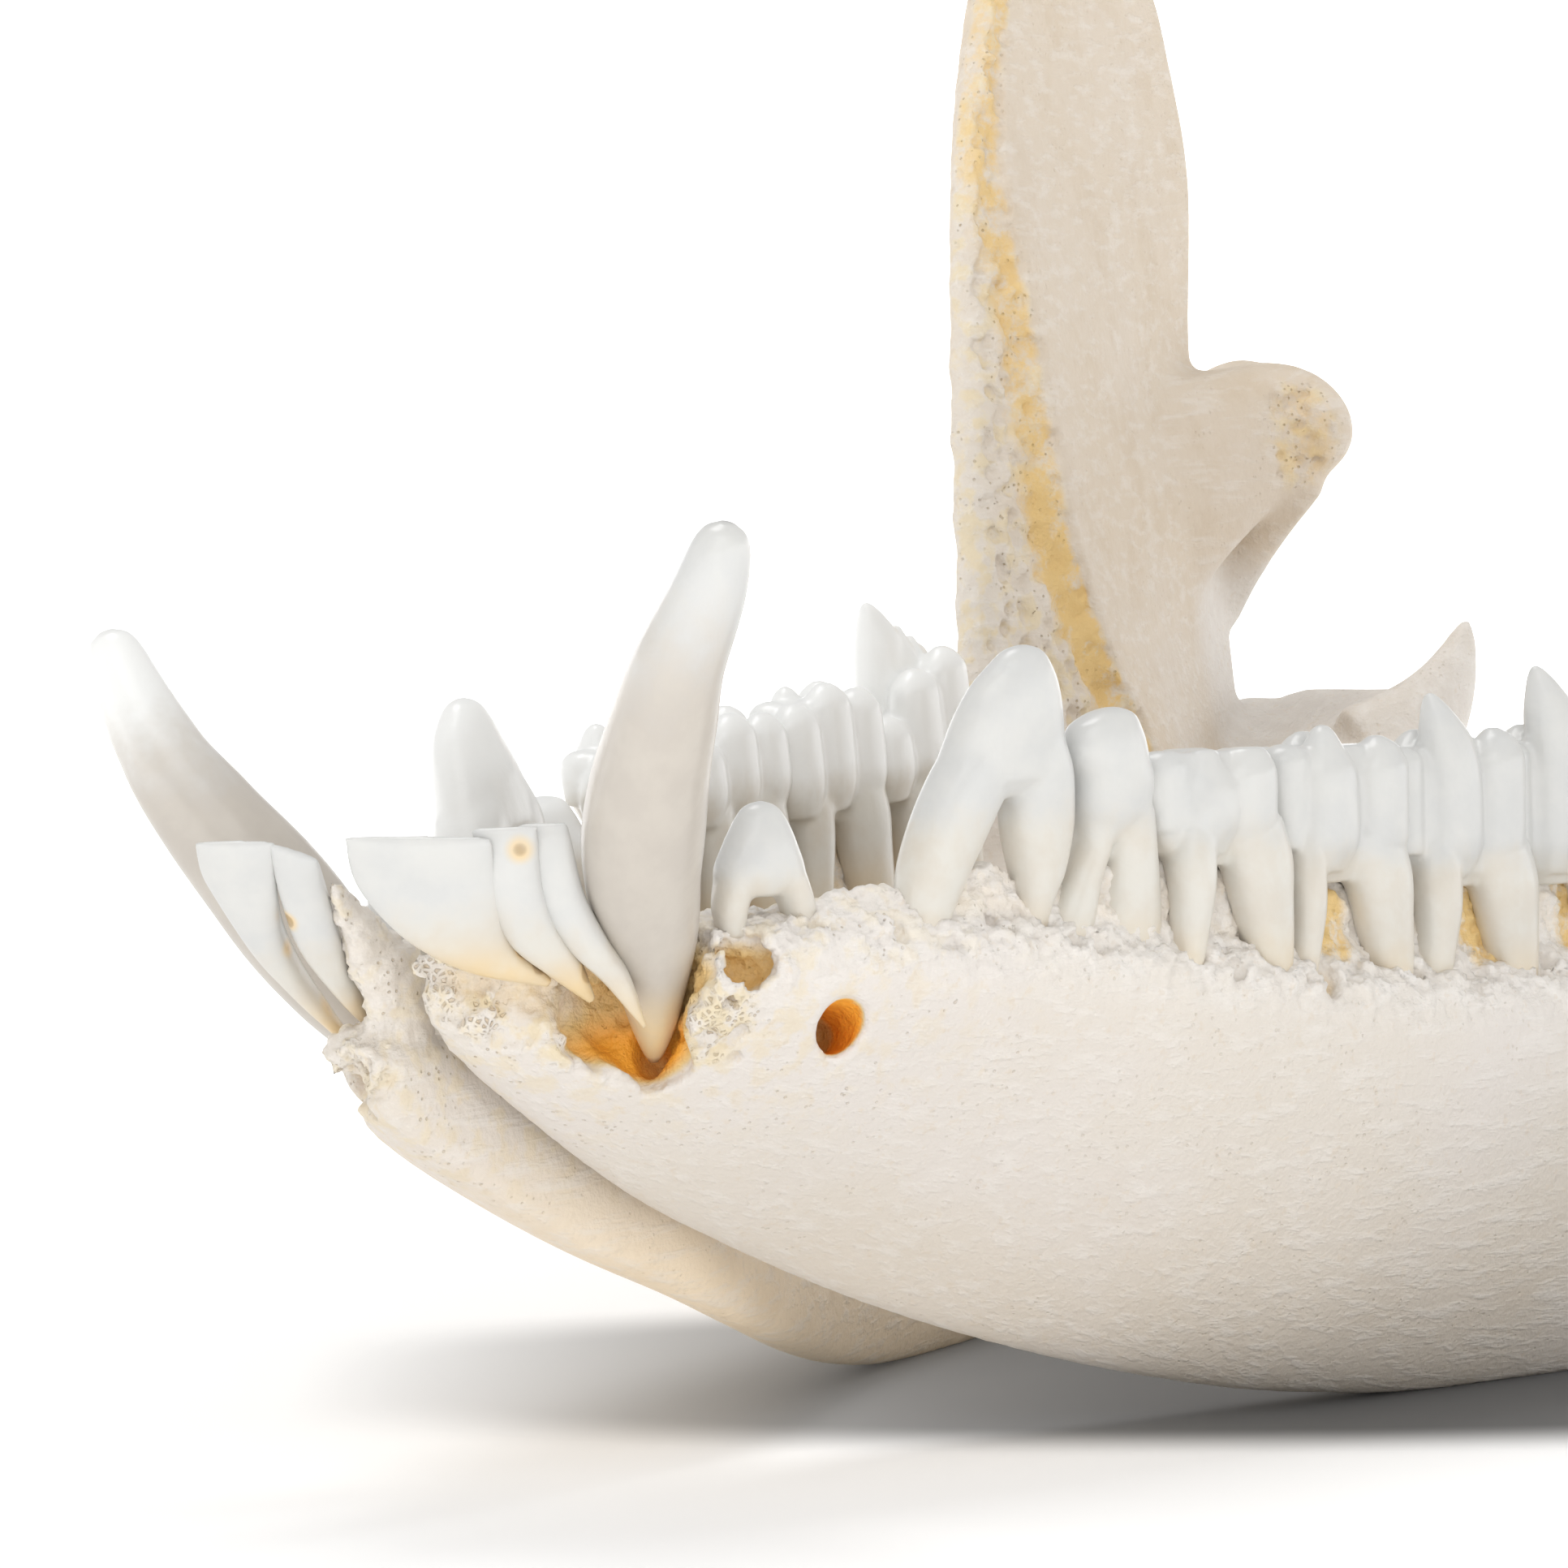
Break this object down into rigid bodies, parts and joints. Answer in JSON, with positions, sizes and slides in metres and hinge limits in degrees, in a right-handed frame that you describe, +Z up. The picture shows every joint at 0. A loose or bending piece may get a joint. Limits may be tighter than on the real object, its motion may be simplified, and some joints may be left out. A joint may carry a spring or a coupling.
{
  "type": "opossum lower jaw",
  "caption": "Lower jaw of an opossum: two separate toothed jaw bones with tall curved canines, lying on their bellies as a still museum model.",
  "frame": {"origin": "centre of the bounding box in X and Y, on the floor that the jaw rests on", "axes": "+Z up, -Y to the front teeth, +Y to the joint ends, +X to the animal's left"},
  "size_m": [0.057, 0.0962, 0.0588],
  "materials": {
    "bone": "dry bleached bone",
    "enamel": "smooth tooth enamel"
  },
  "bodies": {
    "root": {"dentary_left": "bone", "dentary_right": "bone", "canine_left": "enamel", "canine_right": "enamel"}
  },
  "joints": []
}
